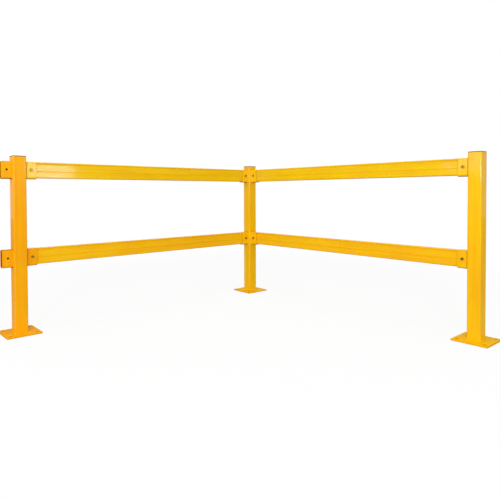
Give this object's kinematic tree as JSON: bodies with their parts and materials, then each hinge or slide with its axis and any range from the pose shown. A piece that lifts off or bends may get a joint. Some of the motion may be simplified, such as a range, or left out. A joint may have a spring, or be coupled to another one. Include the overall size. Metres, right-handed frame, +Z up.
{
  "type": "industrial guard rail",
  "caption": "Modular steel guard rail corner run: square posts on base plates, joined at a right angle by ribbed rails bolted into folded drop-in pockets.",
  "frame": {"origin": "floor level at the centre of the corner post's base plate", "axes": "+Z up; the right leg runs along +X from the corner post and the left leg along -Y, so the inner side of the corner faces +X and -Y"},
  "size_m": [2.1082, 2.1085, 1.0771],
  "materials": {
    "powder_coat": "gloss safety yellow powder coat on steel",
    "cap_plastic": "satin black moulded polyethylene",
    "zinc_plate": "zinc plate with a dark yellow passivate"
  },
  "bodies": {
    "root": {"corner_base_plate": "powder_coat", "corner_foot_weld": "powder_coat", "corner_post": "powder_coat", "corner_post_cap": "cap_plastic", "left_base_plate": "powder_coat", "left_foot_weld": "powder_coat", "left_post": "powder_coat", "left_post_cap": "cap_plastic", "right_base_plate": "powder_coat", "right_foot_weld": "powder_coat", "right_post": "powder_coat", "right_post_cap": "cap_plastic", "left_upper_rail": "powder_coat", "corner_pocket_left_upper": "powder_coat", "left_pocket_inner_upper": "powder_coat", "bolt_corner_left_upper": "zinc_plate", "nut_corner_left_upper": "zinc_plate", "head_washer_corner_left_upper": "powder_coat", "nut_washer_corner_left_upper": "zinc_plate", "bolt_left_upper": "zinc_plate", "nut_left_upper": "zinc_plate", "head_washer_left_upper": "powder_coat", "nut_washer_left_upper": "zinc_plate", "left_lower_rail": "powder_coat", "corner_pocket_left_lower": "powder_coat", "left_pocket_inner_lower": "powder_coat", "bolt_corner_left_lower": "zinc_plate", "nut_corner_left_lower": "zinc_plate", "head_washer_corner_left_lower": "powder_coat", "nut_washer_corner_left_lower": "zinc_plate", "bolt_left_lower": "zinc_plate", "nut_left_lower": "zinc_plate", "head_washer_left_lower": "powder_coat", "nut_washer_left_lower": "zinc_plate", "right_upper_rail": "powder_coat", "corner_pocket_right_upper": "powder_coat", "right_pocket_inner_upper": "powder_coat", "bolt_corner_right_upper": "zinc_plate", "nut_corner_right_upper": "zinc_plate", "head_washer_corner_right_upper": "powder_coat", "nut_washer_corner_right_upper": "zinc_plate", "bolt_right_upper": "zinc_plate", "nut_right_upper": "zinc_plate", "head_washer_right_upper": "powder_coat", "nut_washer_right_upper": "zinc_plate", "right_lower_rail": "powder_coat", "corner_pocket_right_lower": "powder_coat", "right_pocket_inner_lower": "powder_coat", "bolt_corner_right_lower": "zinc_plate", "nut_corner_right_lower": "zinc_plate", "head_washer_corner_right_lower": "powder_coat", "nut_washer_corner_right_lower": "zinc_plate", "bolt_right_lower": "zinc_plate", "nut_right_lower": "zinc_plate", "head_washer_right_lower": "powder_coat", "nut_washer_right_lower": "zinc_plate", "left_pocket_outer_upper": "powder_coat", "left_pocket_outer_lower": "powder_coat"}
  },
  "joints": []
}
